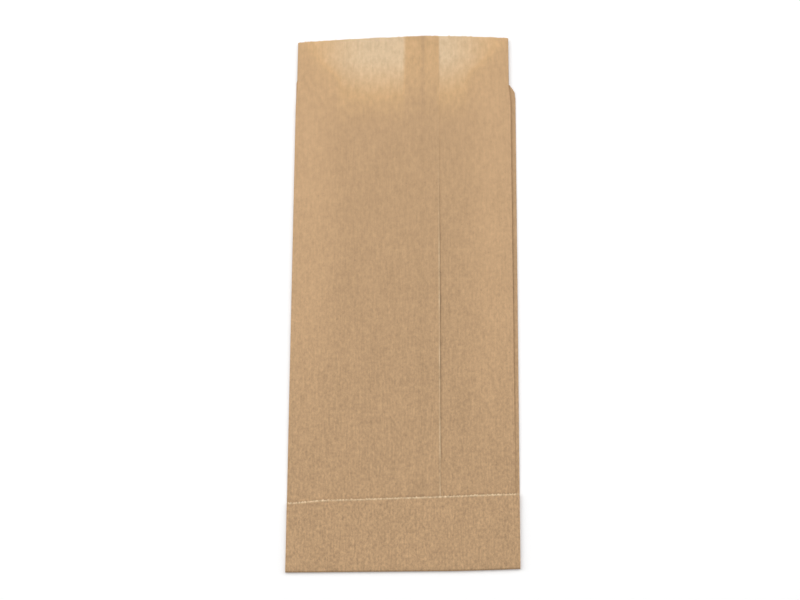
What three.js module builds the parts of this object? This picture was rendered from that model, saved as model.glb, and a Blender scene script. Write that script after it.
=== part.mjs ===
// A flat paper bag with side gussets, empty, lying on its back wall. All sizes are in millimetres.
//
// The bag is one sheet of kraft paper. Its two long edges overlap and are glued down the front, which makes
// a tube. Each side of the tube is folded inwards as a gusset. The bottom end of the tube is turned over
// onto the front as a flap. At the mouth the front wall stands past the back wall as a lip.
//
// +Y points to the mouth, +Z points up out of the front wall, and the back wall lies on Z = 0. The origin is
// on the resting plane, below the middle of the bag.

import * as THREE from 'three';

const { degToRad, lerp, smoothstep } = THREE.MathUtils;

// Sizes of the folded bag
const BAG_WIDTH = 100;
const BAG_LENGTH = 250;
const GUSSET_DEPTH = 20;
const PAPER = 0.1;

// The front wall's right fold lies this far inside the back wall's right fold.
const FRONT_INSET = 1.9;

// The lengthwise seam: where the outer edge lies from the bag's left side, how far the edges overlap, how
// far the glue stays back from both edges, and how far the free edge lifts
const SEAM_EDGE = 65.8;
const SEAM_OVERLAP = 15.4;
const SEAM_GLUE_MARGIN = 4;
const GLUE_FILM = 0.03;
const SEAM_EDGE_LIFT = 0.2;

// The stepped cut that parts one bag from the next: the step from the front to the back, how far out of
// square the back's edge runs, its rounded corners, the bow of the lip, and the teeth of the knife
const CUT_STEP = 20.2;
const BACK_SKEW_DEGREES = 3.15;
const CORNER_WIDTH = 5;
const RIGHT_CORNER_DEPTH = 6.6;
const LEFT_CORNER_DEPTH = 2.5;
const LIP_BOW = 0.2;
const TOOTH_PITCH = 1.25;
const TOOTH_DEPTH = 0.5;

// The turned-over bottom: how much of the front wall is turned over with it, and how far out of square the
// flap's edge runs
const FRONT_TURN_IN = 12.6;
const FLAP_SKEW_DEGREES = 1.3;

// The air between two layers, pressed flat at the bottom and springy at the mouth, and inside the turn
const PRESSED_GAP = 0.05;
const MOUTH_GAP = 0.4;
const TURN_CLEARANCE = 0.05;

// How far the front wall arches up at the back wall's edge, how much further at the lip, and how square
// the arch is at each
const ARCH_RISE = 2.2;
const LIP_RISE = 1.3;
const ARCH_POWER = 3;
const LIP_POWER = 1.5;

// How finely the sheet is divided
const FRONT_CELL = 6;
const BACK_CELL = 12;
const FOLD_SEGMENTS = 4;
const TURN_SEGMENTS = 6;
const BODY_ROWS = 9;
const SHOULDER = 1.6;

const KRAFT = new THREE.MeshStandardMaterial({ color: 0xbd9b76, roughness: 0.88, metalness: 0 });

// Where the folds and edges of the flat bag lie across it
const LEFT = -BAG_WIDTH / 2;
const RIGHT = BAG_WIDTH / 2;
const FRONT_RIGHT = RIGHT - FRONT_INSET;
const SEAM_OUTER = LEFT + SEAM_EDGE;
const SEAM_INNER = SEAM_OUTER - SEAM_OVERLAP;
const SEAM_MIDDLE = (SEAM_OUTER + SEAM_INNER) / 2;
const GLUE_FROM = SEAM_INNER + SEAM_GLUE_MARGIN;
const GLUE_TO = SEAM_OUTER - SEAM_GLUE_MARGIN;

// Layers are numbered upwards from the back wall, 0, through the two gusset layers to the front wall, 3.
const FRONT_LAYER = 3;
const SEAM_RISE = PAPER + GLUE_FILM;
const PRESSED_PITCH = PAPER + PRESSED_GAP;
const MOUTH_PITCH = PAPER + MOUTH_GAP;

// The bottom is turned over an axis just above the pressed stack of layers.
const TURN_AXIS = FRONT_LAYER * PRESSED_PITCH + PAPER + SEAM_RISE + TURN_CLEARANCE;
const TURN_LENGTH = Math.PI * TURN_AXIS;
const TURN_Y = -BAG_LENGTH / 2 + TURN_AXIS;

// Places along the paper are measured from the end of the turn towards the mouth.
const FLAP_LENGTH = FRONT_TURN_IN + CUT_STEP;
const FLAP_SKEW = Math.tan(degToRad(FLAP_SKEW_DEGREES));
const BACK_SKEW = Math.tan(degToRad(BACK_SKEW_DEGREES));
const PRESSED_END = FLAP_LENGTH + (FLAP_SKEW * BAG_WIDTH) / 2 + SHOULDER;
const LIP_END = BAG_LENGTH / 2 - TURN_Y;
const BACK_END = LIP_END - CUT_STEP;

// How far open the bag is at a place along it: 0 under the flap, and 1 at the back wall's edge
function openness(along) {
  return smoothstep(along, PRESSED_END, BACK_END);
}

function layerPitch(along) {
  return lerp(PRESSED_PITCH, MOUTH_PITCH, openness(along));
}

function layerHeight(layer, along) {
  return PAPER / 2 + layer * layerPitch(along);
}

// The middle of each side fold's arc. It moves inwards as the fold grows rounder towards the mouth.
function foldInset(along) {
  return (PAPER + layerPitch(along)) / 2;
}

const sides = {
  left: {
    turn: -1,
    back: (along) => LEFT + foldInset(along),
    front: (along) => LEFT + foldInset(along),
    inner: (along) => LEFT + GUSSET_DEPTH - foldInset(along),
  },
  right: {
    turn: 1,
    back: (along) => RIGHT - foldInset(along),
    front: (along) => FRONT_RIGHT - foldInset(along),
    inner: (along) => FRONT_RIGHT - GUSSET_DEPTH + foldInset(along),
  },
};

// The arch of the front wall across the bag, from 0 at its folds to 1 at the seam. It has steep sides and a
// flat top in the body, and is more like a tent at the lip.
function archShape(x, along) {
  const power = lerp(ARCH_POWER, LIP_POWER, smoothstep(along, BACK_END - CUT_STEP, LIP_END));
  const fold = x < SEAM_MIDDLE ? sides.left.front(along) : sides.right.front(along);
  const share = Math.min(1, (x - SEAM_MIDDLE) / (fold - SEAM_MIDDLE));
  return 1 - share ** power;
}

function frontHeight(x, along) {
  const pastBack = Math.max(0, (along - BACK_END) / CUT_STEP);
  const rise = ARCH_RISE * openness(along) + LIP_RISE * pastBack ** 2;
  return layerHeight(FRONT_LAYER, along) + rise * archShape(x, along);
}

// The outer panel climbs onto the inner one just before the overlap, and its free edge lifts a little.
function outerPanelHeight(x, along) {
  const climb = smoothstep(x, SEAM_INNER - 2 * SHOULDER, SEAM_INNER - SHOULDER);
  const free = Math.max(0, (x - GLUE_TO) / SEAM_GLUE_MARGIN);
  return frontHeight(x, along) + SEAM_RISE * climb + SEAM_EDGE_LIFT * openness(along) * free ** 2;
}

// Where the paper ends at the mouth, at the roots of its teeth
function lipCut(x) {
  return LIP_END - TOOTH_DEPTH - LIP_BOW * (1 - archShape(x, LIP_END));
}

// A rounded corner is a quarter of an ellipse.
function cornerDepth(distance, depth) {
  const share = Math.max(0, 1 - distance / CORNER_WIDTH);
  return depth * (1 - Math.sqrt(1 - share ** 2));
}

function backCut(x) {
  const corners = cornerDepth(RIGHT - x, RIGHT_CORNER_DEPTH) + cornerDepth(x - LEFT, LEFT_CORNER_DEPTH);
  return BACK_END - TOOTH_DEPTH - BACK_SKEW * x - corners;
}

// Where the turned-over paper ends, at the roots of its teeth
function turnInCut() {
  return TURN_AXIS + TOOTH_DEPTH - TURN_LENGTH - FRONT_TURN_IN;
}

function flapCut(x) {
  return TURN_AXIS + TOOTH_DEPTH - TURN_LENGTH - FLAP_LENGTH - FLAP_SKEW * x;
}

// A station is one lengthwise line of the sheet: its place in the bag's cross-section, the way its outer
// face looks there, and where it ends at the mouth and at the bottom. A panel has stations at given
// distances from its start.
function panel({ from, to, distances, height, faceUp, mouth, bottom }) {
  const width = Math.abs(to(LIP_END) - from(LIP_END));
  return distances(width).map((distance) => {
    const across = (along) => lerp(from(along), to(along), distance / width);
    const place = (along) => ({
      x: across(along),
      z: height(across(along), along),
      faceX: 0,
      faceZ: faceUp ? 1 : -1,
    });
    return { place, mouthEnd: mouth(across(LIP_END)), bottomEnd: bottom(across(0)) };
  });
}

// A fold takes the sheet half round from the layer above to the layer below. It bulges to one side, and the
// outer face is on its round side or in its hollow.
function fold({ centreX, lowerLayer, bulge, outerFaceRound, mouthEnd, bottomEnd }) {
  const face = outerFaceRound ? 1 : -1;
  return Array.from({ length: FOLD_SEGMENTS - 1 }, (_, index) => {
    const angle = Math.PI * (0.5 - (index + 1) / FOLD_SEGMENTS);
    const cos = bulge * Math.cos(angle);
    const sin = Math.sin(angle);
    const place = (along) => {
      const radius = layerPitch(along) / 2;
      return {
        x: centreX(along) + radius * cos,
        z: layerHeight(lowerLayer, along) + radius + radius * sin,
        faceX: face * cos,
        faceZ: face * sin,
      };
    };
    return { place, mouthEnd, bottomEnd };
  });
}

// Distances of the stations across a panel
function evenly(from, to, cell) {
  const count = Math.max(1, Math.round((to - from) / cell));
  return Array.from({ length: count + 1 }, (_, index) => lerp(from, to, index / count));
}

const cornerDistances = [0, 0.1 * CORNER_WIDTH, 0.25 * CORNER_WIDTH, 0.55 * CORNER_WIDTH];

const fromFarSide = (distances, width) => distances.map((distance) => width - distance).reverse();

// One side of the bag, from the front fold down through the gusset to the back fold
function gusset({ turn, front, inner, back }) {
  const frontX = front(LIP_END);
  const innerX = inner(LIP_END);
  const backX = back(LIP_END);

  // The cut slants across the front half of the gusset, from the lip down to the back wall's edge.
  const share = (x) => (x - frontX) / (innerX - frontX);
  const slantedMouth = (x) => lerp(lipCut(frontX), backCut(innerX), share(x));
  const slantedBottom = (x) => lerp(turnInCut(), flapCut(innerX), share(x));

  return [
    ...fold({
      centreX: front,
      lowerLayer: 2,
      bulge: turn,
      outerFaceRound: true,
      mouthEnd: lipCut(frontX),
      bottomEnd: turnInCut(),
    }),
    ...panel({
      from: front,
      to: inner,
      distances: (width) => evenly(0, width, FRONT_CELL),
      height: (x, along) => layerHeight(2, along),
      faceUp: false,
      mouth: slantedMouth,
      bottom: slantedBottom,
    }),
    ...fold({
      centreX: inner,
      lowerLayer: 1,
      bulge: -turn,
      outerFaceRound: false,
      mouthEnd: backCut(innerX),
      bottomEnd: flapCut(innerX),
    }),
    ...panel({
      from: inner,
      to: back,
      distances: (width) => [
        ...evenly(0, width - CORNER_WIDTH, FRONT_CELL),
        ...fromFarSide(cornerDistances, width),
      ],
      height: (x, along) => layerHeight(1, along),
      faceUp: true,
      mouth: backCut,
      bottom: flapCut,
    }),
    ...fold({
      centreX: back,
      lowerLayer: 0,
      bulge: turn,
      outerFaceRound: true,
      mouthEnd: backCut(turn * RIGHT),
      bottomEnd: flapCut(backX),
    }),
  ];
}

const innerPanel = panel({
  from: () => SEAM_INNER,
  to: sides.right.front,
  distances: (width) => [
    0,
    GLUE_FROM - SEAM_INNER,
    GLUE_TO - SEAM_INNER,
    ...evenly(SEAM_OVERLAP, width, FRONT_CELL),
  ],
  height: frontHeight,
  faceUp: true,
  mouth: lipCut,
  bottom: turnInCut,
});

const backWall = panel({
  from: sides.right.back,
  to: sides.left.back,
  distances: (width) => [
    ...cornerDistances,
    ...evenly(CORNER_WIDTH, width - CORNER_WIDTH, BACK_CELL),
    ...fromFarSide(cornerDistances, width),
  ],
  height: (x, along) => layerHeight(0, along),
  faceUp: false,
  mouth: backCut,
  bottom: flapCut,
});

const outerPanel = panel({
  from: sides.left.front,
  to: () => SEAM_OUTER,
  distances: (width) => [
    ...evenly(0, width - SEAM_OVERLAP - 2 * SHOULDER, FRONT_CELL),
    width - SEAM_OVERLAP - SHOULDER,
    width - SEAM_OUTER + GLUE_FROM,
    width - SEAM_OUTER + GLUE_TO,
    width - SEAM_GLUE_MARGIN / 2,
    width,
  ],
  height: outerPanelHeight,
  faceUp: true,
  mouth: lipCut,
  bottom: turnInCut,
});

// The whole sheet, from its inner seam edge round the back to its outer seam edge
const stations = [
  ...innerPanel,
  ...gusset(sides.right),
  ...backWall,
  ...gusset(sides.left).reverse(),
  ...outerPanel,
];

// Places of the rows of one station. Rows lie closer together towards the mouth.
function rowsOf({ mouthEnd, bottomEnd }) {
  const bottomShoulder = bottomEnd + SHOULDER;
  const mouthShoulder = mouthEnd - SHOULDER;
  const flapRows = [bottomEnd, bottomShoulder, lerp(bottomShoulder, -TURN_LENGTH, 0.5)];
  const turnRows = Array.from(
    { length: TURN_SEGMENTS + 1 },
    (_, index) => -TURN_LENGTH * (1 - index / TURN_SEGMENTS),
  );
  const bodyRows = Array.from(
    { length: BODY_ROWS + 1 },
    (_, index) => lerp(PRESSED_END, mouthShoulder, 1 - (1 - index / BODY_ROWS) ** 1.5),
  );
  return [...flapRows, ...turnRows, ...bodyRows, mouthEnd];
}

const FIRST_BODY_ROW = TURN_SEGMENTS + 4;

// Takes a point of the flat stack, at its height, round the turn at the bottom
function turnOver(x, along, z) {
  const angle = Math.PI * THREE.MathUtils.clamp(-along / TURN_LENGTH, 0, 1);
  const radius = TURN_AXIS - z;
  const past = Math.max(0, along) + Math.max(0, -along - TURN_LENGTH);
  return new THREE.Vector3(x, TURN_Y + past - radius * Math.sin(angle), TURN_AXIS - radius * Math.cos(angle));
}

// The sheet is gathered as points and triangles of its middle. Each point stands for two vertices, one on
// the outer face and one on the inner face.
const vertices = [];
const triangles = [];
const sheetTriangles = [];

const outerVertex = (point) => 2 * point;
const innerVertex = (point) => 2 * point + 1;

function addPoint(outer, inner) {
  vertices.push(outer, inner);
  return vertices.length / 2 - 1;
}

// The outer and inner faces' places at one station
function facesAt(station, along) {
  const { x, z, faceX, faceZ } = station.place(along);
  const half = PAPER / 2;
  return [1, -1].map((face) => turnOver(x + face * half * faceX, along, z + face * half * faceZ));
}

// A point between two stations, on the straight lines between their faces
function addPointBetween(first, second, share, alongFirst, alongSecond) {
  const [outerA, innerA] = facesAt(first, alongFirst);
  const [outerB, innerB] = facesAt(second, alongSecond);
  return addPoint(outerA.lerp(outerB, share), innerA.lerp(innerB, share));
}

const grid = stations.map((station) => rowsOf(station).map((along) => addPoint(...facesAt(station, along))));
const ROWS = grid[0].length;

function addSheetTriangle(a, b, c, flipped = false) {
  sheetTriangles.push(flipped ? [a, c, b] : [a, b, c]);
}

// A cut edge between two stations. Its teeth stand on a straight line of roots, and the roots are joined to
// the last row inside the sheet by a fan.
function addToothedEdge(column, edgeRow, innerRow, end, direction) {
  const first = stations[column];
  const second = stations[column + 1];
  const rootFirst = vertices[outerVertex(grid[column][edgeRow])];
  const rootSecond = vertices[outerVertex(grid[column + 1][edgeRow])];
  const teeth = Math.round(rootFirst.distanceTo(rootSecond) / TOOTH_PITCH);
  const flipped = direction < 0;

  const roots = [grid[column][edgeRow]];
  for (let index = 1; index < teeth; index += 1) {
    roots.push(addPointBetween(first, second, index / teeth, first[end], second[end]));
  }
  roots.push(grid[column + 1][edgeRow]);

  const innerFirst = grid[column][innerRow];
  const innerSecond = grid[column + 1][innerRow];
  const middle = Math.floor((roots.length - 1) / 2);
  addSheetTriangle(innerFirst, innerSecond, roots[middle], flipped);
  for (let index = 0; index < roots.length - 1; index += 1) {
    const hub = index < middle ? innerFirst : innerSecond;
    addSheetTriangle(hub, roots[index + 1], roots[index], flipped);
  }

  const reach = direction * TOOTH_DEPTH;
  for (let index = 0; index < teeth; index += 1) {
    const share = (index + 0.5) / teeth;
    const tip = addPointBetween(first, second, share, first[end] + reach, second[end] + reach);
    addSheetTriangle(roots[index], roots[index + 1], tip, flipped);
  }
}

for (let column = 0; column < stations.length - 1; column += 1) {
  for (let row = 1; row < ROWS - 2; row += 1) {
    const [a, b] = [grid[column][row], grid[column + 1][row]];
    const [c, d] = [grid[column + 1][row + 1], grid[column][row + 1]];
    addSheetTriangle(a, b, c);
    addSheetTriangle(a, c, d);
  }
  addToothedEdge(column, ROWS - 1, ROWS - 2, 'mouthEnd', 1);
  addToothedEdge(column, 0, 1, 'bottomEnd', -1);
}

// The glue joins the inner panel's outer face to the outer panel's inner face, over one column of cells.
const GLUE_COLUMN = 1;
const innerGlue = grid.slice(GLUE_COLUMN, GLUE_COLUMN + 2);
const outerGlueStart = stations.length - 4;
const outerGlue = grid.slice(outerGlueStart, outerGlueStart + 2);
const LAST_GLUE_ROW = ROWS - 3;

function glueLoop([firstColumn, secondColumn]) {
  const up = secondColumn.slice(FIRST_BODY_ROW, LAST_GLUE_ROW + 1);
  const down = firstColumn.slice(FIRST_BODY_ROW, LAST_GLUE_ROW + 1).reverse();
  return [...up, ...down];
}

const lowerLoop = glueLoop(innerGlue);
const upperLoop = glueLoop(outerGlue);
const underGlue = new Set(lowerLoop);
const overGlue = new Set(upperLoop);
const allIn = (set, points) => points.every((point) => set.has(point));

for (const [a, b, c] of sheetTriangles) {
  if (!allIn(underGlue, [a, b, c])) {
    triangles.push([a, b, c].map(outerVertex));
  }
  if (!allIn(overGlue, [a, b, c])) {
    triangles.push([a, c, b].map(innerVertex));
  }
}

function addQuad(a, b, c, d) {
  triangles.push([a, b, c], [a, c, d]);
}

lowerLoop.forEach((point, index) => {
  const next = (index + 1) % lowerLoop.length;
  addQuad(
    outerVertex(point),
    outerVertex(lowerLoop[next]),
    innerVertex(upperLoop[next]),
    innerVertex(upperLoop[index]),
  );
});

// Wherever the sheet ends, a narrow wall as high as the paper is thick joins its two faces.
const directed = new Set(
  sheetTriangles.flatMap(([a, b, c]) => [`${a} ${b}`, `${b} ${c}`, `${c} ${a}`]),
);
for (const edge of directed) {
  const [from, to] = edge.split(' ').map(Number);
  if (!directed.has(`${to} ${from}`)) {
    addQuad(outerVertex(to), outerVertex(from), innerVertex(from), innerVertex(to));
  }
}

const geometry = new THREE.BufferGeometry();
geometry.setAttribute('position', new THREE.Float32BufferAttribute(vertices.flatMap((v) => v.toArray()), 3));
geometry.setIndex(triangles.flat());
geometry.computeVertexNormals();

const paperBag = new THREE.Mesh(geometry, KRAFT);
paperBag.name = 'paper_bag';

const bag = new THREE.Group();
bag.add(paperBag);

export default bag;
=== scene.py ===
# %% [markdown]
# A flat paper bag, folded from one sheet
#
# The bag is one web of thin kraft paper. A machine folds it into a tube with a gusset in each side, glues
# the two long edges over each other down the front, cuts it off with a toothed knife and turns the bottom
# end over. It lies on its back wall with the seam side up.
#
# The frame loads first. It holds the plain solid of the bag, at its real size. Everything made here uses
# the same origin and the same metres, so the finished sheet goes exactly where that solid is.

import math

import bpy
import numpy as np
from mathutils import Matrix, Vector


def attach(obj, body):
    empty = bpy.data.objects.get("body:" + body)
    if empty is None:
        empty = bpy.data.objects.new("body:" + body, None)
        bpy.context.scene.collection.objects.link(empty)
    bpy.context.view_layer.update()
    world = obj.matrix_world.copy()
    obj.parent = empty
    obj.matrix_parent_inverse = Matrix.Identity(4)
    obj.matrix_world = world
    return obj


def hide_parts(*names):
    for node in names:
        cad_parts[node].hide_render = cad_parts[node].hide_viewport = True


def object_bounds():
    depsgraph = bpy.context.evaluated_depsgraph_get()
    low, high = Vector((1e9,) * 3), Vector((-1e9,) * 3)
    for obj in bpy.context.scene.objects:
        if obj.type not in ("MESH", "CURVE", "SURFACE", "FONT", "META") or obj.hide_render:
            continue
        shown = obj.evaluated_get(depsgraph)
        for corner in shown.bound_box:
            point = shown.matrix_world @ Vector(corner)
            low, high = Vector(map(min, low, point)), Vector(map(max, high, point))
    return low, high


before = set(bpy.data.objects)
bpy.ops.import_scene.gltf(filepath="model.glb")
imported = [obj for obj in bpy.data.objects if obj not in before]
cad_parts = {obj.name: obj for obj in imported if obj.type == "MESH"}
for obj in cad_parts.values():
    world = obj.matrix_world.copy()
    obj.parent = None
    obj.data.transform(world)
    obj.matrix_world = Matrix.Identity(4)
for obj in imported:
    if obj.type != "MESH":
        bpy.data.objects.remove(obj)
cad_low, cad_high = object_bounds()
print("nodes in the frame:", list(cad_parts))
print("CAD box in mm:", [round(1000 * (h - l), 2) for l, h in zip(cad_low, cad_high)])

# %% [markdown]
# The camera
#
# The photo looks down on the bag from its bottom end, tilted about 20 degrees from straight down, through
# a long lens. That tilt is why the far end looks narrower. The camera is placed by what it looks at, the
# two angles, and its distance, and then turned a little about its own line of sight.

# %% Camera
LOOK_AT = Vector((-0.0019, -0.0020, 0.0))
AZIMUTH_DEGREES = 10.0
ELEVATION_DEGREES = 69.5
ROLL_DEGREES = -10.28
DISTANCE = 1.097
FOCAL_PIXELS = 2484.0
PHOTO_WIDTH_PIXELS = 800.0
SENSOR_MM = 36.0


def make_camera():
    azimuth = math.radians(AZIMUTH_DEGREES)
    elevation = math.radians(ELEVATION_DEGREES)
    level = math.cos(elevation)
    back = Vector((math.sin(azimuth) * level, -math.cos(azimuth) * level, math.sin(elevation)))
    data = bpy.data.cameras.new("camera")
    data.sensor_width = SENSOR_MM
    data.lens = FOCAL_PIXELS * SENSOR_MM / PHOTO_WIDTH_PIXELS
    data.clip_start, data.clip_end = 0.05, 10.0
    camera = bpy.data.objects.new("camera", data)
    bpy.context.scene.collection.objects.link(camera)
    turn = back.to_track_quat("Z", "Y") @ Matrix.Rotation(math.radians(ROLL_DEGREES), 3, "Z").to_quaternion()
    camera.rotation_mode = "QUATERNION"
    camera.rotation_quaternion = turn
    camera.location = LOOK_AT + DISTANCE * back
    return camera


bpy.context.scene.camera = make_camera()
bpy.context.scene.view_settings.view_transform = "Standard"
print("lens in mm:", round(bpy.context.scene.camera.data.lens, 1))

# %% [markdown]
# The sizes of the folded bag
#
# A folded thing is easiest to build from its flat pattern. One direction runs across the web, round the
# tube. The other runs along it, from the turned-over end to the mouth. A few sizes say where the folds and
# cuts are, in millimetres, and the outside size comes from the frame.

# %% Sizes in millimetres
MM = 0.001
LEFT, RIGHT = cad_low.x / MM, cad_high.x / MM
BOTTOM, TOP = cad_low.y / MM, cad_high.y / MM
PAPER = 0.1
FRONT_INSET, MOUTH_INSET = 1.6, 2.25
GUSSET_DEPTH = 20.0
SEAM_OUTER = LEFT + 65.8
SEAM_OVERLAP = 15.4
SEAM_INNER = SEAM_OUTER - SEAM_OVERLAP
GLUE_MARGIN = 4.0
GLUE_FILM = 0.03
CUT_STEP = 20.2
FRONT_TURN_IN = 12.6
CORNER_WIDTH = 5.0
RIGHT_CORNER_DEPTH, LEFT_CORNER_DEPTH = 6.6, 2.5
TOOTH_PITCH, TOOTH_DEPTH = 1.25, 0.6
PRESSED_AIR, MOUTH_AIR = 0.05, 0.4
FRONT_LAYER = 3
BACK_SLANT = 0.055
FLAP_SLANT_DEGREES = 1.3
SEAM_SLANT = 0.5
LEFT_PULL, RIGHT_PULL = 0.45, 0.75
SHOULDER = 1.6

PRESSED_PITCH, MOUTH_PITCH = PAPER + PRESSED_AIR, PAPER + MOUTH_AIR
SEAM_RISE = PAPER + GLUE_FILM
FRONT_RIGHT = RIGHT - FRONT_INSET
GUSSET_EDGES = (LEFT + GUSSET_DEPTH, FRONT_RIGHT - GUSSET_DEPTH)
SEAM_MIDDLE = (SEAM_INNER + SEAM_OUTER) / 2
TURN_AXIS = FRONT_LAYER * PRESSED_PITCH + PAPER + SEAM_RISE + PRESSED_AIR
TURN_LENGTH = math.pi * TURN_AXIS
TURN_Y = BOTTOM + TURN_AXIS
FLAP_LENGTH = FRONT_TURN_IN + CUT_STEP
FLAP_SLANT = math.tan(math.radians(FLAP_SLANT_DEGREES))
PRESSED_END = FLAP_LENGTH + FLAP_SLANT * RIGHT + SHOULDER
LIP_END = TOP - TURN_Y
BACK_END = LIP_END - CUT_STEP
print("flap length in mm:", FLAP_LENGTH)


# %% Small helpers for numbers
def mix(a, b, share):
    return a + (b - a) * share


def smooth(value, low, high):
    share = np.clip((np.asarray(value, float) - low) / (high - low), 0.0, 1.0)
    return share * share * (3 - 2 * share)


def ripples(x, y, wavelength, stretch, seed, count=9):
    """A gentle random swell: a few plane waves in random directions, between about -1 and 1."""
    rng = np.random.default_rng(seed)
    total = 0.0
    for angle, phase, scale in zip(
        rng.uniform(0, math.pi, count), rng.uniform(0, 2 * math.pi, count), rng.uniform(0.7, 1.5, count)
    ):
        step = 2 * math.pi / (wavelength * scale)
        total = total + np.sin(step * (np.cos(angle) * x + np.sin(angle) * y / stretch) + phase)
    return total / math.sqrt(2 * count)


# %% [markdown]
# How the layers lie
#
# Under the flap the tube is pressed flat. Towards the mouth it springs open a little, so its layers part,
# and the front wall arches up over the hollow. These functions give the height of each layer anywhere on
# the bag. The arch is what the side light picks out in the photo, so the finished sheet follows it closely
# and adds the small things that the plain solid leaves out: swells where the damp glue has pulled the
# paper, a soft ridge over each hidden edge, and a flap that sags between the gussets. Where a name in this
# cell ends in BEFORE, the length is measured back from the end of the back wall or of the lip.

# %% Heights of the layers
ARCH_RISE, LIP_RISE = 2.2, 1.3
ARCH_POWER, LIP_POWER = 3.0, 1.5
PULL_STARTS_BEFORE, PULL_FULL_BEFORE = 14.0, 3.0
SWELL, NARROW_SWELL_SHARE = 0.10, 0.4
STIFF_NEAR_FOLD = 8.0
RIDGE, RIDGE_WIDTH = 0.10, 2.2
SEAM_EDGE_LIFT, LIFT_VARIES = 0.25, 0.5
LIFT_LEAD = 60.0
LIFT_FADES_BEFORE, LIFT_GONE_BEFORE = 130.0, 60.0
FLAP_SAG, SAG_RAMP = 0.2, 12.0


def openness(along):
    return smooth(along, PRESSED_END, BACK_END)


def layer_pitch(along):
    return mix(PRESSED_PITCH, MOUTH_PITCH, openness(along))


def layer_height(layer, along):
    return PAPER / 2 + layer * layer_pitch(along)


def fold_inset(along):
    return (PAPER + layer_pitch(along)) / 2


def lip_pull(along):
    """The sides of the lip draw in, because the arch takes up some of its width."""
    return smooth(along, BACK_END - PULL_STARTS_BEFORE, BACK_END - PULL_FULL_BEFORE)


def front_right(along):
    """The right edge of the front wall, which lies a little further in towards the mouth."""
    inset = mix(FRONT_INSET, MOUTH_INSET, np.clip(along / LIP_END, 0.0, 1.0))
    return RIGHT - inset - RIGHT_PULL * lip_pull(along)


def seam_edge(along):
    return SEAM_OUTER + mix(-SEAM_SLANT, SEAM_SLANT, np.clip(1 - along / LIP_END, 0.0, 1.0))


FOLDS = {
    "left": {
        "turn": -1,
        "back": lambda along: LEFT + fold_inset(along),
        "front": lambda along: LEFT + fold_inset(along) + LEFT_PULL * lip_pull(along),
        "inner": lambda along: LEFT + GUSSET_DEPTH - fold_inset(along),
    },
    "right": {
        "turn": 1,
        "back": lambda along: RIGHT - fold_inset(along),
        "front": lambda along: front_right(along) - fold_inset(along),
        "inner": lambda along: FRONT_RIGHT - GUSSET_DEPTH + fold_inset(along),
    },
}


def arch_shape(x, along):
    power = mix(ARCH_POWER, LIP_POWER, smooth(along, BACK_END - CUT_STEP, LIP_END))
    fold = np.where(x < SEAM_MIDDLE, FOLDS["left"]["front"](along), FOLDS["right"]["front"](along))
    share = np.clip((x - SEAM_MIDDLE) / (fold - SEAM_MIDDLE), 0.0, 1.0)
    return 1 - share**power


def front_relief(x, along):
    """What the finished front wall adds to the plain arch: swells, and ridges over the hidden edges."""
    free = openness(along) * np.minimum(1.0, STIFF_NEAR_FOLD * arch_shape(x, along))
    wide = ripples(x, along, wavelength=34.0, stretch=3.0, seed=4)
    narrow = ripples(x, along, wavelength=11.0, stretch=6.0, seed=9)
    swell = SWELL * (wide + NARROW_SWELL_SHARE * narrow)
    ridge = sum(RIDGE * np.exp(-(((x - edge) / RIDGE_WIDTH) ** 2)) for edge in GUSSET_EDGES)
    return free * (swell + ridge)


def front_height(x, along):
    past_back = np.maximum(0.0, (along - BACK_END) / CUT_STEP)
    rise = ARCH_RISE * openness(along) + LIP_RISE * past_back**2
    return layer_height(FRONT_LAYER, along) + rise * arch_shape(x, along) + front_relief(x, along)


def outer_panel_height(x, along):
    """The left panel climbs onto the right one at the seam, and its free edge lifts in mid-length."""
    climb = smooth(x, SEAM_INNER - 2 * SHOULDER, SEAM_INNER - SHOULDER)
    free = np.maximum(0.0, (x - seam_edge(along) + GLUE_MARGIN) / GLUE_MARGIN)
    loose = openness(along + LIFT_LEAD)
    loose = loose * (1 - smooth(along, LIP_END - LIFT_FADES_BEFORE, LIP_END - LIFT_GONE_BEFORE))
    uneven = 1 + LIFT_VARIES * ripples(0 * along, along, wavelength=30.0, stretch=1.0, seed=2)
    return front_height(x, along) + SEAM_RISE * climb + SEAM_EDGE_LIFT * loose * uneven * free**2


def back_height(x, along):
    """The back wall lies flat. Past the turn, where it is the top of the flap, it sags in the middle."""
    past_turn = smooth(-along, TURN_LENGTH, TURN_LENGTH + FRONT_TURN_IN)
    left_inner, right_inner = GUSSET_EDGES
    middle = smooth(x, left_inner, left_inner + SAG_RAMP)
    middle = middle * (1 - smooth(x, right_inner - SAG_RAMP, right_inner))
    return layer_height(0, along) + FLAP_SAG * past_turn * middle


print("front wall at the lip in mm:", round(float(front_height(SEAM_MIDDLE, LIP_END)), 2))


# %% [markdown]
# Where the paper ends
#
# The knife that parts two bags has a step in it, so the front wall keeps a lip and the next bag gets its
# flap from the same cut. The cut slants across the front half of each gusset and rounds the back corners.

# %% The stepped cut
LIP_BOW = 0.2
LEFT_DROOP = 0.75
DROOP_FROM, DROOP_TO = 3.0, 15.0


def lip_cut(x):
    return LIP_END - TOOTH_DEPTH - LIP_BOW * (1 - arch_shape(x, LIP_END))


def back_cut(x):
    corners = 0.0
    for distance, depth in ((RIGHT - x, RIGHT_CORNER_DEPTH), (x - LEFT, LEFT_CORNER_DEPTH)):
        share = np.clip(1 - distance / CORNER_WIDTH, 0.0, 1.0)
        corners = corners + depth * (1 - np.sqrt(1 - share**2))
    return BACK_END - TOOTH_DEPTH - BACK_SLANT * x - corners


def turn_in_cut(x):
    return TURN_AXIS + TOOTH_DEPTH - TURN_LENGTH - FRONT_TURN_IN + 0 * x


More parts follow.
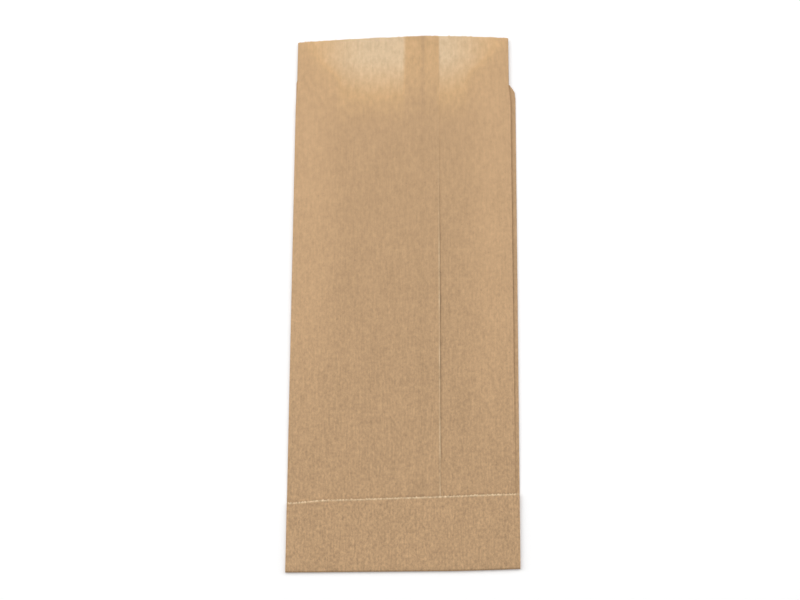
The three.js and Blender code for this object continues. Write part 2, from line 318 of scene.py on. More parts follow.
def flap_cut(x):
    left_droop = LEFT_DROOP * (1 - smooth(x - LEFT, DROOP_FROM, DROOP_TO))
    return TURN_AXIS + TOOTH_DEPTH - TURN_LENGTH - FLAP_LENGTH - FLAP_SLANT * x + left_droop


# %% [markdown]
# Stations across the web
#
# A station is one lengthwise line of the sheet. It knows its place in the cross-section, the way its outer
# face looks there, and where it ends. The front panels get a station about every tooth of the knife, the
# hidden panels one about every second tooth, and each fold gets a few round its arc.

# %% Stations
FRONT_CELL, OTHER_CELL, EDGE_CELL = TOOTH_PITCH, 2 * TOOTH_PITCH, 0.6
FOLD_STEPS = 6
stations = []


def add_panel(start, end, cell, height, face_up, mouth, bottom, stops=()):
    """Stations from one fold or edge to the next. Each of the stops, in mm across, gets its own."""
    first, last = float(start(LIP_END)), float(end(LIP_END))
    ends = [0.0, *[(stop - first) / (last - first) for stop in stops], 1.0]
    shares = [0.0]
    for low, high in zip(ends, ends[1:]):
        count = max(1, round((high - low) * abs(last - first) / cell))
        shares += [mix(low, high, step / count) for step in range(1, count + 1)]
    for share in shares:
        def place(along, share=share):
            x = mix(start(along), end(along), share)
            flat = np.zeros_like(along)
            return x, height(x, along), flat, flat + (1 if face_up else -1)

        x = mix(first, last, share)
        stations.append({"place": place, "mouth": float(mouth(x)), "bottom": float(bottom(x))})


def add_fold(centre, lower_layer, bulge, outside_round, mouth_end, bottom_end):
    """Stations round a fold, from the layer above it to the one below."""
    face = 1 if outside_round else -1
    for step in range(1, FOLD_STEPS):
        angle = math.pi * (0.5 - step / FOLD_STEPS)
        cos, sin = bulge * math.cos(angle), math.sin(angle)

        def place(along, cos=cos, sin=sin):
            radius = layer_pitch(along) / 2
            x = centre(along) + radius * cos
            z = layer_height(lower_layer, along) + radius + radius * sin
            return x, z, np.full_like(along, face * cos), np.full_like(along, face * sin)

        stations.append({"place": place, "mouth": float(mouth_end), "bottom": float(bottom_end)})


def add_gusset(side):
    """One side of the bag, from the front fold in to the inner fold and out to the back fold."""
    folds = FOLDS[side]
    turn = folds["turn"]
    front_x, inner_x = float(folds["front"](LIP_END)), float(folds["inner"](LIP_END))
    edge = RIGHT if turn > 0 else LEFT

    def slanted(x, at_front, at_inner):
        return mix(at_front(front_x), at_inner(inner_x), (x - front_x) / (inner_x - front_x))

    add_fold(folds["front"], 2, turn, True, lip_cut(front_x), turn_in_cut(front_x))
    add_panel(
        folds["front"], folds["inner"], OTHER_CELL, lambda x, along: layer_height(2, along), False,
        lambda x: slanted(x, lip_cut, back_cut), lambda x: slanted(x, turn_in_cut, flap_cut),
    )
    add_fold(folds["inner"], 1, -turn, False, back_cut(inner_x), flap_cut(inner_x))
    add_panel(
        folds["inner"], folds["back"], OTHER_CELL, lambda x, along: layer_height(1, along), True,
        back_cut, flap_cut, stops=[edge - turn * CORNER_WIDTH],
    )
    add_fold(folds["back"], 0, turn, True, back_cut(edge), flap_cut(edge))


GLUE_FROM, GLUE_TO = SEAM_INNER + GLUE_MARGIN, SEAM_OUTER - GLUE_MARGIN
add_panel(
    lambda along: SEAM_INNER + 0 * along, FOLDS["right"]["front"], FRONT_CELL, front_height, True,
    lip_cut, turn_in_cut, stops=[GLUE_FROM, GLUE_TO, SEAM_OUTER - EDGE_CELL, SEAM_OUTER],
)
inner_panel_count = len(stations)
add_gusset("right")
back_start = len(stations)
add_panel(
    FOLDS["right"]["back"], FOLDS["left"]["back"], OTHER_CELL, back_height, False,
    back_cut, flap_cut, stops=[RIGHT - CORNER_WIDTH, LEFT + CORNER_WIDTH],
)
left_start = len(stations)
add_gusset("left")
stations[left_start:] = stations[left_start:][::-1]
outer_start = len(stations)
add_panel(
    FOLDS["left"]["front"], seam_edge, FRONT_CELL, outer_panel_height, True,
    lip_cut, turn_in_cut,
    stops=[SEAM_INNER - SHOULDER, SEAM_INNER, GLUE_FROM, GLUE_TO, SEAM_OUTER - EDGE_CELL],
)
print("stations across the web:", len(stations))

# %% [markdown]
# Rows along the web, and the turn at the bottom
#
# Every station has the same number of rows, so the sheet is a regular grid of points, stretched to where
# each station ends. The grid is laid out on the flat stack first. One function then takes the end of the
# whole stack half round an axis above it, which turns the bottom over with all its layers in step. Another
# lets the folded bag settle as a real one does: its long sides lift a hair off the table above the flap,
# and the right bottom corner is folded a little short.

# %% Rows and the turn
EDGE_CURL = 0.45
CURL_FROM, CURL_WIDTH = 22.0, 28.0
CURL_STARTS_ABOVE, CURL_FULL_ABOVE = 20.0, 60.0
CURL_FADES_AT, CURL_GONE_AT = -30.0, 90.0
SHORT_CORNER = 0.65
SHORT_FROM, SHORT_WIDTH, SHORT_LENGTH = 20.0, 30.0, 25.0
TURN_STEPS = 8
FLAP_ROWS = 16
UNDER_FLAP_ROWS = 12
BODY_ROWS = 100


def rows_of(station):
    low, high = station["bottom"] + SHOULDER, station["mouth"] - SHOULDER
    return np.concatenate([
        [station["bottom"]],
        np.linspace(low, -TURN_LENGTH, FLAP_ROWS, endpoint=False),
        np.linspace(-TURN_LENGTH, 0.0, TURN_STEPS, endpoint=False),
        np.linspace(0.0, PRESSED_END, UNDER_FLAP_ROWS, endpoint=False),
        np.linspace(PRESSED_END, high, BODY_ROWS),
        [station["mouth"]],
    ])


def turn_over(x, along, z):
    angle = np.pi * np.clip(-along / TURN_LENGTH, 0.0, 1.0)
    radius = TURN_AXIS - z
    past = np.maximum(0.0, along) + np.maximum(0.0, -along - TURN_LENGTH)
    return np.stack([x, TURN_Y + past - radius * np.sin(angle), TURN_AXIS - radius * np.cos(angle)], axis=-1)


def settle(points):
    x, y, z = points[..., 0], points[..., 1], points[..., 2]
    sides = np.clip((np.abs(x) - CURL_FROM) / CURL_WIDTH, 0.0, 1.0) ** 2
    above_flap = smooth(y, BOTTOM + CURL_STARTS_ABOVE, BOTTOM + CURL_FULL_ABOVE)
    below_mouth = 1 - smooth(y, CURL_FADES_AT, CURL_GONE_AT)
    lift = EDGE_CURL * sides * below_mouth * above_flap
    right_side = np.clip((x - SHORT_FROM) / SHORT_WIDTH, 0.0, 1.0) ** 1.5
    short = SHORT_CORNER * right_side * (1 - smooth(y, BOTTOM, BOTTOM + SHORT_LENGTH))
    return np.stack([x, y + short, z + lift], axis=-1)


def faces_at(station, along):
    """The outer and inner face of the sheet at one station, for an array of places along it."""
    x, z, face_x, face_z = station["place"](along)
    half = PAPER / 2
    return [settle(turn_over(x + f * half * face_x, along, z + f * half * face_z)) for f in (1, -1)]


rows = np.array([rows_of(station) for station in stations])
grid_faces = [faces_at(station, along) for station, along in zip(stations, rows)]
COLUMNS, ROWS = rows.shape
print("grid:", COLUMNS, "by", ROWS)

# %% [markdown]
# From grid to mesh, with teeth
#
# The mesh is gathered as points of the sheet, each with a vertex on the outer and on the inner face. The
# last strip at each cut end is different: its teeth stand on a line of roots, and no two are quite alike,
# because a knife tears the last fibres. Each point also carries its place on the flat web, so that the
# grain of the paper can run on round the folds.

# %% Gather the sheet
MEASURED_ROW = -10
TOOTH_SHIFT = 0.25
SHORTEST_TOOTH = 0.15
rng = np.random.default_rng(21)
outer_points, inner_points, web_points, columns_of_points, end_distance = [], [], [], [], []
sheet_faces = []


def add_point(outer, inner, web, column, from_end):
    outer_points.append(outer)
    inner_points.append(inner)
    web_points.append(web)
    columns_of_points.append(column)
    end_distance.append(from_end)
    return len(outer_points) - 1


def add_face(points, flipped=False):
    sheet_faces.append(points[::-1] if flipped else points)


round_tube = np.array([0.5 * (outer[MEASURED_ROW] + inner[MEASURED_ROW]) for outer, inner in grid_faces])
middle_x, middle_z = round_tube[:, 0], round_tube[:, 2]
web_x = np.concatenate([[0.0], np.cumsum(np.hypot(np.diff(middle_x), np.diff(middle_z)))])
web_width = web_x[-1]
print("web measured round the tube in mm:", round(web_width, 1))

grid = np.zeros((COLUMNS, ROWS), dtype=int)
for column in range(COLUMNS):
    outer, inner = grid_faces[column]
    for row in range(ROWS):
        along = rows[column, row]
        from_end = min(stations[column]["mouth"] - along, along - stations[column]["bottom"])
        grid[column, row] = add_point(outer[row], inner[row], (web_x[column], along), column, from_end)


def point_between(column, share, along_first, along_second):
    """A point on the straight line between two stations."""
    first = faces_at(stations[column], np.array([along_first]))
    second = faces_at(stations[column + 1], np.array([along_second]))
    outer, inner = (mix(a[0], b[0], share) for a, b in zip(first, second))
    web = (mix(web_x[column], web_x[column + 1], share), mix(along_first, along_second, share))
    return add_point(outer, inner, web, column + share, 0.0)


def add_toothed_strip(column, edge_row, inner_row, end, direction):
    """One cell of the last strip at a cut: a fan of faces out to the roots, and a tooth between each two."""
    first, second = stations[column][end], stations[column + 1][end]
    start, stop = grid_faces[column][0][edge_row], grid_faces[column + 1][0][edge_row]
    teeth = round(float(np.linalg.norm(stop - start)) / TOOTH_PITCH)
    flipped = direction < 0
    roots = [grid[column, edge_row]]
    for index in range(1, teeth):
        roots.append(point_between(column, index / teeth, first, second))
    roots.append(grid[column + 1, edge_row])
    hub_first, hub_second = grid[column, inner_row], grid[column + 1, inner_row]
    middle = (len(roots) - 1) // 2
    add_face([hub_first, hub_second, roots[middle]], flipped)
    for index in range(len(roots) - 1):
        hub = hub_first if index < middle else hub_second
        add_face([hub, roots[index + 1], roots[index]], flipped)
    for index in range(teeth):
        share = (index + 0.5 + rng.uniform(-TOOTH_SHIFT, TOOTH_SHIFT)) / teeth
        reach = direction * TOOTH_DEPTH * rng.uniform(SHORTEST_TOOTH, 1.0)
        tip = point_between(column, share, first + reach, second + reach)
        add_face([roots[index], roots[index + 1], tip], flipped)


for column in range(COLUMNS - 1):
    for row in range(1, ROWS - 2):
        add_face([grid[column, row], grid[column + 1, row], grid[column + 1, row + 1], grid[column, row + 1]])
    add_toothed_strip(column, ROWS - 1, ROWS - 2, "mouth", 1)
    add_toothed_strip(column, 0, 1, "bottom", -1)
print("points:", len(outer_points), "faces of the middle sheet:", len(sheet_faces))


# %% [markdown]
# Two faces, a rim and a line of glue
#
# Each face of the middle sheet becomes one on the outer side and one on the inner. Wherever the sheet
# ends, a rim as high as the paper is thick closes it. The seam's glue is a narrow wall-to-wall bridge
# between the two panels, so the bag is one closed solid, as the plain one is.

# %% Build the mesh
GLUE_STOPS_ROWS_BEFORE = 4
SHARP_DEGREES = 50.0


def glue_columns():
    """The first of two neighbouring stations in the middle of the glue, on the inner and outer panel."""
    glue_middle = (GLUE_FROM + GLUE_TO) / 2
    inner_column = int(np.argmin(np.abs(middle_x[:inner_panel_count] - glue_middle)))
    outer_column = outer_start + int(np.argmin(np.abs(middle_x[outer_start:] - glue_middle)))
    return inner_column, outer_column


def glue_loop(column):
    first_row = 1 + FLAP_ROWS + TURN_STEPS + UNDER_FLAP_ROWS
    last_row = ROWS - GLUE_STOPS_ROWS_BEFORE
    up = [grid[column + 1, row] for row in range(first_row, last_row)]
    down = [grid[column, row] for row in range(last_row - 1, first_row - 1, -1)]
    return up + down


def build_sheet():
    inner_column, outer_column = glue_columns()
    lower_loop, upper_loop = glue_loop(inner_column), glue_loop(outer_column)
    under_glue, over_glue = set(lower_loop), set(upper_loop)
    faces, rim = [], []
    for points in sheet_faces:
        if not under_glue.issuperset(points):
            faces.append([2 * p for p in points])
        if not over_glue.issuperset(points):
            faces.append([2 * p + 1 for p in reversed(points)])
    for index, point in enumerate(lower_loop):
        following = (index + 1) % len(lower_loop)
        faces.append([
            2 * point, 2 * lower_loop[following], 2 * upper_loop[following] + 1, 2 * upper_loop[index] + 1,
        ])
    directed = {(a, b) for points in sheet_faces for a, b in zip(points, points[1:] + points[:1])}
    for a, b in sorted(directed):
        if (b, a) not in directed:
            rim.append([2 * b, 2 * a, 2 * a + 1, 2 * b + 1])
    return faces, rim


sheet_mesh_faces, rim_faces = build_sheet()
vertices = np.empty((2 * len(outer_points), 3))
vertices[0::2] = np.array(outer_points) * MM
vertices[1::2] = np.array(inner_points) * MM
mesh = bpy.data.meshes.new("kraft_bag_sheet")
mesh.from_pydata(vertices.tolist(), [], [[int(v) for v in f] for f in sheet_mesh_faces + rim_faces])
mesh.validate()
mesh.polygons.foreach_set("use_smooth", [True] * len(mesh.polygons))
mesh.polygons.foreach_set("material_index", [0] * len(sheet_mesh_faces) + [1] * len(rim_faces))
mesh.set_sharp_from_angle(angle=math.radians(SHARP_DEGREES))
bag = bpy.data.objects.new("kraft_bag_sheet", mesh)
bpy.context.scene.collection.objects.link(bag)
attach(bag, "root")
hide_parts("paper_bag")
print("triangles:", sum(len(p.vertices) - 2 for p in mesh.polygons))


# %% [markdown]
# Facts for the material
#
# Some of what the eye sees comes from how the bag is folded, so it is worked out here and stored on the
# vertices. One thin layer lets a good part of the white table shine through, two let through little, and
# four none. So the lip glows, and the glow fades out further in. The doubled seam shows in it as a darker
# band, and the glue line as a darker line in that. Below the lip, glue that has soaked in leaves a faint
# stain down the seam. Where an edge lies over the paper below, a narrow shade runs along it. The two
# kinds of cut differ too: the knife's teeth tear the fibres, and the slit sides of the web stay smooth.

# %% Store the facts
FULL_GLOW_TO, GLOW_ENDS_AT, GLOW_POWER = 11.0, 46.0, 1.4
FOLD_GLOW, FOLD_GLOW_FROM, FOLD_GLOW_TO = 0.3, 2.0, 34.0
TWO_LAYERS = 0.35
GUSSET_BLUR, CUT_BLUR = 1.5, 4.0
GLUE_LINE_DEPTH, GLUE_LINE_WIDTH = 0.6, 0.8
GLUE_STAIN_WIDTH = 1.8
GUSSET_LIGHT_FADES_BEFORE, GUSSET_LIGHT_GONE_PAST = 10.0, 5.0
GUSSET_LIGHT_FULL_AFTER, GUSSET_LIGHT_WEAKENS_AT, GUSSET_LIGHT_LOSS = 90.0, 200.0, 0.5
SHADE_FROM_ROOTS = 0.7 * TOOTH_DEPTH
FAR = 5.0


def shine_through(x, from_lip):
    """Light coming through the front wall, from 0 to 1, by what lies under it."""
    fading = np.clip((from_lip - FULL_GLOW_TO) / (GLOW_ENDS_AT - FULL_GLOW_TO), 0.0, 1.0)
    to_fold = np.minimum(x - LEFT, FRONT_RIGHT - x)
    from_side = mix(FOLD_GLOW, 1.0, smooth(to_fold, FOLD_GLOW_FROM, FOLD_GLOW_TO))
    entering = (1 - fading) ** GLOW_POWER * from_side
    slant = CUT_STEP * to_fold / GUSSET_DEPTH
    in_gusset = 1 - smooth(to_fold, GUSSET_DEPTH - GUSSET_BLUR, GUSSET_DEPTH + GUSSET_BLUR)
    over_gusset = in_gusset * smooth(from_lip, slant - CUT_BLUR, slant + CUT_BLUR)
    glue_line = 1 - GLUE_LINE_DEPTH * np.exp(-(((x - SEAM_MIDDLE) / GLUE_LINE_WIDTH) ** 2))
    in_overlap = (x > SEAM_INNER) & (x < SEAM_OUTER - SEAM_SLANT)
    return entering * mix(1.0, TWO_LAYERS, over_gusset) * np.where(in_overlap, TWO_LAYERS * glue_line, 1.0)


def painted_gusset_light(x, along):
    """Painted light over the hidden gussets, from 0 to 1: the front wall is painted lighter where they back
    it.
    """
    to_fold = np.minimum(x - LEFT, FRONT_RIGHT - x)
    over = 1 - smooth(to_fold, GUSSET_DEPTH - GUSSET_LIGHT_FADES_BEFORE, GUSSET_DEPTH + GUSSET_LIGHT_GONE_PAST)
    past_flap = smooth(along, PRESSED_END, PRESSED_END + GUSSET_LIGHT_FULL_AFTER)
    return over * past_flap * (1 - GUSSET_LIGHT_LOSS * smooth(along, GUSSET_LIGHT_WEAKENS_AT, LIP_END))


web = np.array(web_points)
column_of = np.array(columns_of_points)
x_of = 0.5 * (np.array(outer_points) + np.array(inner_points))[:, 0]
along_of = web[:, 1]
on_inner_panel = column_of <= inner_panel_count - 1
on_outer_panel = column_of >= outer_start
on_front = on_inner_panel | on_outer_panel
in_right_gusset = (column_of > inner_panel_count + FOLD_STEPS) & (column_of < back_start)
on_strip = in_right_gusset & (x_of > RIGHT - CORNER_WIDTH) & (along_of > 0)

glow = np.where(on_front, shine_through(x_of, LIP_END - along_of), 0.0)
gusset_light = np.where(on_front, painted_gusset_light(x_of, along_of), 0.0)
glue = np.where(on_outer_panel, np.exp(-(((x_of - SEAM_MIDDLE) / GLUE_STAIN_WIDTH) ** 2)), 0.0)
flap_edge = -flap_cut(x_of) - TURN_LENGTH + SHADE_FROM_ROOTS
beside_edge = np.where(on_front, np.clip(along_of - flap_edge, 0.0, FAR), FAR)
beside_seam = np.clip(x_of - seam_edge(along_of), 0.0, FAR)
beside_edge = np.where(on_inner_panel, np.minimum(beside_edge, beside_seam), beside_edge)
beside_edge = np.where(on_strip, np.clip(x_of - front_right(along_of), 0.0, FAR), beside_edge)
slit_distance = np.minimum(web[:, 0], web_width - web[:, 0])


def store(name, kind, values):
    attribute = mesh.attributes.new(name, kind, "POINT")
    key = "vector" if kind == "FLOAT_VECTOR" else "value"
    attribute.data.foreach_set(key, np.repeat(values, 2, axis=0).astype(np.float32).ravel())


store("web", "FLOAT_VECTOR", np.column_stack([web, np.zeros(len(web))]))
store("glow", "FLOAT", glow)
store("gusset_light", "FLOAT", gusset_light)
store("glue", "FLOAT", glue)
store("beside_edge", "FLOAT", beside_edge)
store("end_distance", "FLOAT", np.minimum(np.array(end_distance), FAR))
store("slit_distance", "FLOAT", np.minimum(slit_distance, FAR))
store("strip", "FLOAT", on_strip.astype(float))
print("glow from", round(float(glow.min()), 2), "to", round(float(glow.max()), 2))

# %% [markdown]
# Kraft paper as a node group
#
# Look closely at kraft paper and you see soft clouds and smaller flocks where the pulp lay thicker, fine
# grain, streaks drawn out along the web, and a few dark specks of bark. The same pulp shows on the faces
# and on the cut edges, so it is one node group with named sockets, used by both materials with different
# strengths.

# %% Node helpers
KRAFT = (0.509, 0.328, 0.181)


def new_group(name, inputs, outputs):
    group = bpy.data.node_groups.new(name, "ShaderNodeTree")
    for label, kind in inputs:
        group.interface.new_socket(label, in_out="INPUT", socket_type=kind)
    for label, kind in outputs:
        group.interface.new_socket(label, in_out="OUTPUT", socket_type=kind)
    return group, group.nodes.new("NodeGroupInput"), group.nodes.new("NodeGroupOutput")


def math_node(tree, operation, first, second=None, third=None):
    """A Math node. Each input is a socket or a number."""
    node = tree.nodes.new("ShaderNodeMath")
    node.operation = operation
    for index, value in enumerate((first, second, third)):
        if value is None:
            continue
        if isinstance(value, (int, float)):
            node.inputs[index].default_value = value
        else:
            tree.links.new(value, node.inputs[index])
    return node.outputs[0]


def remap(tree, value, from_low, from_high, to_low=0.0, to_high=1.0):
    node = tree.nodes.new("ShaderNodeMapRange")
    node.inputs["From Min"].default_value = from_low
    node.inputs["From Max"].default_value = from_high
    node.inputs["To Min"].default_value = to_low
    node.inputs["To Max"].default_value = to_high
    tree.links.new(value, node.inputs["Value"])
    return node.outputs["Result"]


def noise(tree, vector, scale_x, scale_y, detail=2.0, roughness=0.5):
    """Noise on the web, with its own size across and along, in features for each millimetre."""
    mapping = tree.nodes.new("ShaderNodeMapping")
    mapping.inputs["Scale"].default_value = (scale_x, scale_y, 1.0)
    tree.links.new(vector, mapping.inputs["Vector"])
    node = tree.nodes.new("ShaderNodeTexNoise")
    node.inputs["Scale"].default_value = 1.0
    node.inputs["Detail"].default_value = detail
    node.inputs["Roughness"].default_value = roughness
    tree.links.new(mapping.outputs["Vector"], node.inputs["Vector"])
    return node.outputs["Fac"]


# %% The pulp group
def make_pulp_group():
    group, given, out = new_group(
        "kraft pulp",
        [("Web", "NodeSocketVector")],
        [("Clouds", "NodeSocketFloat"), ("Flocks", "NodeSocketFloat"), ("Grain", "NodeSocketFloat"),
         ("Streaks", "NodeSocketFloat"), ("Specks", "NodeSocketFloat"), ("Height", "NodeSocketFloat")],
    )
    place = given.outputs["Web"]
    clouds = noise(group, place, 0.10, 0.05, detail=3.0)
    flocks = noise(group, place, 0.50, 0.28, detail=2.0)
    grain = noise(group, place, 1.05, 0.66, detail=3.0, roughness=0.7)
    streaks = noise(group, place, 1.3, 0.10, detail=2.0)
    specks = remap(group, noise(group, place, 1.2, 0.8, detail=1.0), 0.67, 0.76)
    for label, value, spread in (
        ("Clouds", clouds, 0.2), ("Flocks", flocks, 0.2), ("Grain", grain, 0.25), ("Streaks", streaks, 0.2),
    ):
        group.links.new(remap(group, value, 0.5 - spread, 0.5 + spread, -1.0, 1.0), out.inputs[label])
    group.links.new(specks, out.inputs["Specks"])
    height = math_node(group, "ADD", grain, math_node(group, "MULTIPLY", streaks, 0.6))
    group.links.new(height, out.inputs["Height"])
    return group


pulp_group = make_pulp_group()
pulp_sockets = pulp_group.interface.items_tree
print("pulp group outputs:", [item.name for item in pulp_sockets if item.in_out == "OUTPUT"])


# %% [markdown]
# The two materials
#
# The faces and the cut edge share the pulp. On the faces the base colour is multiplied by one, plus or
# minus small shares of each thing that the pulp and the stored facts give. The lip is mixed towards a
# paler colour where light comes through, and the grain is stronger towards the bottom. The front wall is
# painted lighter over the hidden gussets and towards the mouth, which is painted light. Close to a cut
# edge, and in places along the slit sides, the paper is mixed towards a pale colour: partly the cut
# fibres' own, partly a painted highlight where they stand up and catch the light. The rim itself is all
# torn fibre, so it is paler and rougher.

# %% Materials
WARM_GLOW = (0.600, 0.385, 0.200)
PALE_GLOW = (0.675, 0.500, 0.315)
TORN_AND_SHEEN_COLOUR = (0.80, 0.62, 0.40)
FLOCKS_IN_GLOW = 0.10
TORN_SHEEN_FULL_TO, TORN_SHEEN_GONE_AT = 0.1, 0.7
SLIT_SHEEN_GONE_AT, SLIT_SHEEN_SHARE = 0.7, 0.75
SHADE_FULL_TO, SHADE_GONE_AT = 0.1, 1.2
EDGES_FADE_BEFORE, EDGES_FAINT_BEFORE, FAINT = 120.0, 60.0, 0.08
TEXTURE_STEADY_BEFORE = 40.0
GRAIN_STRENGTHS = (0.28, 0.05)
STREAK_STRENGTHS = (0.08, 0.03)
SPECK_STRENGTHS = (0.22, 0.10)
# Painted light: from 100 mm along up to the mouth the paper is painted steadily lighter, by 5 per cent at the
# end.
MOUTH_PAINTED_LIGHT_FROM, MOUTH_PAINTED_LIGHT = 100.0, 0.05


def stored_fact(tree, name, output="Fac"):
    node = tree.nodes.new("ShaderNodeAttribute")
    node.attribute_name = name
    return node.outputs[output]


def mix_colour(tree, share, first, second):
    node = tree.nodes.new("ShaderNodeMix")
    node.data_type = "RGBA"
    for name, value in (("Factor", share), ("A", first), ("B", second)):
        socket = node.inputs[name]
        if isinstance(value, tuple):
            socket.default_value = (*value, 1.0)
        elif isinstance(value, (int, float)):
            socket.default_value = value
        else:
            tree.links.new(value, socket)
    return node.outputs["Result"]


def product(tree, first, *others):
    for other in others:
        first = math_node(tree, "MULTIPLY", first, other)
    return first


def place_along(tree, web_place):
    node = tree.nodes.new("ShaderNodeSeparateXYZ")
    tree.links.new(web_place, node.inputs["Vector"])
    return node.outputs["Y"]


def fade_to_mouth(tree, value, along, strengths):
    """A value times one strength at the bottom turn and another near the mouth."""
    return product(tree, value, remap(tree, along, 0.0, LIP_END - TEXTURE_STEADY_BEFORE, *strengths))


def weighted_sum(tree, start, terms):
    total = start
    for value, weight in terms:
        total = math_node(tree, "MULTIPLY_ADD", value, weight, total)
    return total


def scale_colour(tree, colour, factor):
    node = tree.nodes.new("ShaderNodeVectorMath")
    node.operation = "SCALE"
    tree.links.new(colour, node.inputs[0])
    tree.links.new(factor, node.inputs["Scale"])
    return node.outputs["Vector"]


def start_paper_material(name, roughness, bump_distance):
    material = bpy.data.materials.new(name)
    material.use_nodes = True
    tree = material.node_tree
    shader = tree.nodes["Principled BSDF"]
    shader.inputs["Roughness"].default_value = roughness
    shader.inputs["Specular IOR Level"].default_value = 0.25
    pulp = tree.nodes.new("ShaderNodeGroup")
    pulp.node_tree = pulp_group
    tree.links.new(stored_fact(tree, "web", "Vector"), pulp.inputs["Web"])
    bump = tree.nodes.new("ShaderNodeBump")
    bump.inputs["Distance"].default_value = bump_distance
    bump.inputs["Strength"].default_value = 0.6
    tree.links.new(pulp.outputs["Height"], bump.inputs["Height"])
    tree.links.new(bump.outputs["Normal"], shader.inputs["Normal"])
    return material, tree, shader, pulp


def make_face_material():
    material, tree, shader, pulp = start_paper_material("kraft paper faces", 0.85, 0.00002)
    web_place = stored_fact(tree, "web", "Vector")
    glow_share = stored_fact(tree, "glow")
    mottled = math_node(tree, "MULTIPLY_ADD", pulp.outputs["Flocks"], FLOCKS_IN_GLOW, 1.0)
    glow_share = math_node(tree, "MULTIPLY", glow_share, mottled)
    warm = remap(tree, glow_share, 0.0, TWO_LAYERS)
    pale = remap(tree, glow_share, TWO_LAYERS, 1.0)
    colour = mix_colour(tree, warm, KRAFT, WARM_GLOW)
    colour = mix_colour(tree, pale, colour, PALE_GLOW)

    along = place_along(tree, web_place)
    below_mouth = remap(tree, along, LIP_END - EDGES_FAINT_BEFORE, LIP_END - EDGES_FADE_BEFORE, FAINT, 1.0)
    each_tooth = remap(tree, noise(tree, web_place, 0.9, 0.5, detail=1.0), 0.3, 0.65, 0.25, 1.0)
    # Along the toothed cuts: partly the torn fibres' own paler colour, partly a painted highlight.
    torn_and_sheen = remap(tree, stored_fact(tree, "end_distance"), TORN_SHEEN_FULL_TO, TORN_SHEEN_GONE_AT, 1.0, 0.0)
    torn_and_sheen = product(tree, torn_and_sheen, each_tooth, below_mouth)
    colour = mix_colour(tree, torn_and_sheen, colour, TORN_AND_SHEEN_COLOUR)
    in_places = remap(tree, noise(tree, web_place, 0.25, 0.06, detail=2.0), 0.40, 0.60, 0.35, 1.0)
    # In places along the slit sides: partly the paler cut fibre, partly a painted highlight.
    slit_and_sheen = remap(tree, stored_fact(tree, "slit_distance"), 0.0, SLIT_SHEEN_GONE_AT, SLIT_SHEEN_SHARE, 0.0)
    colour = mix_colour(tree, product(tree, slit_and_sheen, in_places, below_mouth), colour, TORN_AND_SHEEN_COLOUR)

    strip = stored_fact(tree, "strip")
    shade = remap(tree, stored_fact(tree, "beside_edge"), SHADE_FULL_TO, SHADE_GONE_AT, 1.0, 0.0)
    shade = product(tree, shade, math_node(tree, "MAXIMUM", in_places, strip), below_mouth)
    grain = fade_to_mouth(tree, pulp.outputs["Grain"], along, GRAIN_STRENGTHS)
    streaks = fade_to_mouth(tree, pulp.outputs["Streaks"], along, STREAK_STRENGTHS)
    specks = fade_to_mouth(tree, pulp.outputs["Specks"], along, SPECK_STRENGTHS)
    brightness = weighted_sum(tree, 1.0, [
        (pulp.outputs["Clouds"], 0.035),
        (pulp.outputs["Flocks"], 0.060),
        (grain, 1.0),
        (streaks, 1.0),
        (specks, -1.0),
        # painted light: the front wall is painted lighter over the hidden gussets
        (stored_fact(tree, "gusset_light"), 0.10),
        (stored_fact(tree, "glue"), -0.04),
        # painted light, lighter towards the mouth
        (remap(tree, along, MOUTH_PAINTED_LIGHT_FROM, LIP_END), MOUTH_PAINTED_LIGHT),
        (shade, -0.22),
    ])
    tree.links.new(scale_colour(tree, colour, brightness), shader.inputs["Base Color"])
    return material


def make_edge_material():
    material, tree, shader, pulp = start_paper_material("kraft paper cut edge", 0.95, 0.00003)
    colour = mix_colour(tree, 0.35, KRAFT, TORN_AND_SHEEN_COLOUR)
    brightness = weighted_sum(tree, 1.0, [(pulp.outputs["Grain"], 0.12), (pulp.outputs["Streaks"], 0.05)])
    tree.links.new(scale_colour(tree, colour, brightness), shader.inputs["Base Color"])
    return material


mesh.materials.append(make_face_material())
mesh.materials.append(make_edge_material())
print("materials:", [m.name for m in mesh.materials])

# %% [markdown]
# Floor and light
#
# The photo is a plain product shot on pure white with only a thin contact shadow. The floor is a matt
# white surface that really receives the light, so it keeps the shadow. Camera rays see a little extra
# white from it, which lifts the open floor to pure white without adding any light to the bag. Large soft
# lamps on both sides and above, and a plain white world, give the even light.

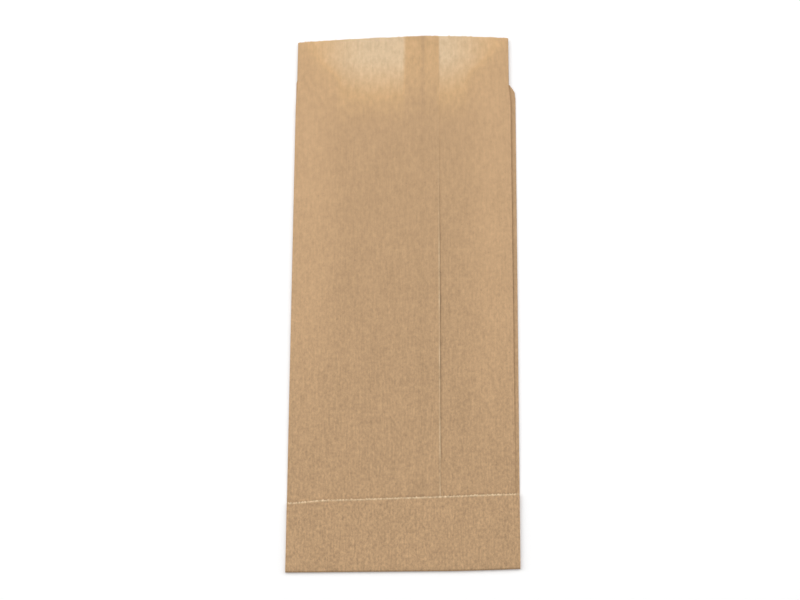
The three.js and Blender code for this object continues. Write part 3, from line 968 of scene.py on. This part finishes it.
# %% Floor
FLOOR_SIZE = 6.0
FLOOR_GAP = 0.00005
FLOOR_WHITE, FLOOR_EXTRA_WHITE = 0.9, 0.16


def make_floor():
    data = bpy.data.meshes.new("floor")
    half = FLOOR_SIZE / 2
    corners = [(-half, -half, 0), (half, -half, 0), (half, half, 0), (-half, half, 0)]
    data.from_pydata(corners, [], [(0, 1, 2, 3)])
    floor = bpy.data.objects.new("floor", data)
    bpy.context.scene.collection.objects.link(floor)
    floor.location.z = cad_low.z - FLOOR_GAP
    material = bpy.data.materials.new("white floor")
    material.use_nodes = True
    tree = material.node_tree
    shader = tree.nodes["Principled BSDF"]
    shader.inputs["Base Color"].default_value = (FLOOR_WHITE, FLOOR_WHITE, FLOOR_WHITE, 1)
    shader.inputs["Roughness"].default_value = 0.9
    shader.inputs["Specular IOR Level"].default_value = 0.1
    shader.inputs["Emission Color"].default_value = (1, 1, 1, 1)
    path = tree.nodes.new("ShaderNodeLightPath")
    extra = math_node(tree, "MULTIPLY", path.outputs["Is Camera Ray"], FLOOR_EXTRA_WHITE)
    tree.links.new(extra, shader.inputs["Emission Strength"])
    data.materials.append(material)


make_floor()


# %% Lights
def add_softbox(name, position, size, power):
    data = bpy.data.lights.new(name, "AREA")
    data.shape = "RECTANGLE"
    data.size, data.size_y = size
    data.energy = power
    lamp = bpy.data.objects.new(name, data)
    bpy.context.scene.collection.objects.link(lamp)
    lamp.location = position
    aim = -Vector(position)
    lamp.rotation_mode = "QUATERNION"
    lamp.rotation_quaternion = aim.to_track_quat("-Z", "Y")


WORLD_STRENGTH = 0.32
add_softbox("left softbox", (-1.1, 0.25, 0.9), (1.2, 1.6), 11.0)
add_softbox("right softbox", (1.1, 0.25, 0.9), (1.2, 1.6), 8.5)
add_softbox("top softbox", (0.0, 0.9, 1.3), (1.6, 1.2), 8.5)
world = bpy.data.worlds.new("plain white")
bpy.context.scene.world = world
world.use_nodes = True
world.node_tree.nodes["Background"].inputs["Color"].default_value = (1, 1, 1, 1)
world.node_tree.nodes["Background"].inputs["Strength"].default_value = WORLD_STRENGTH
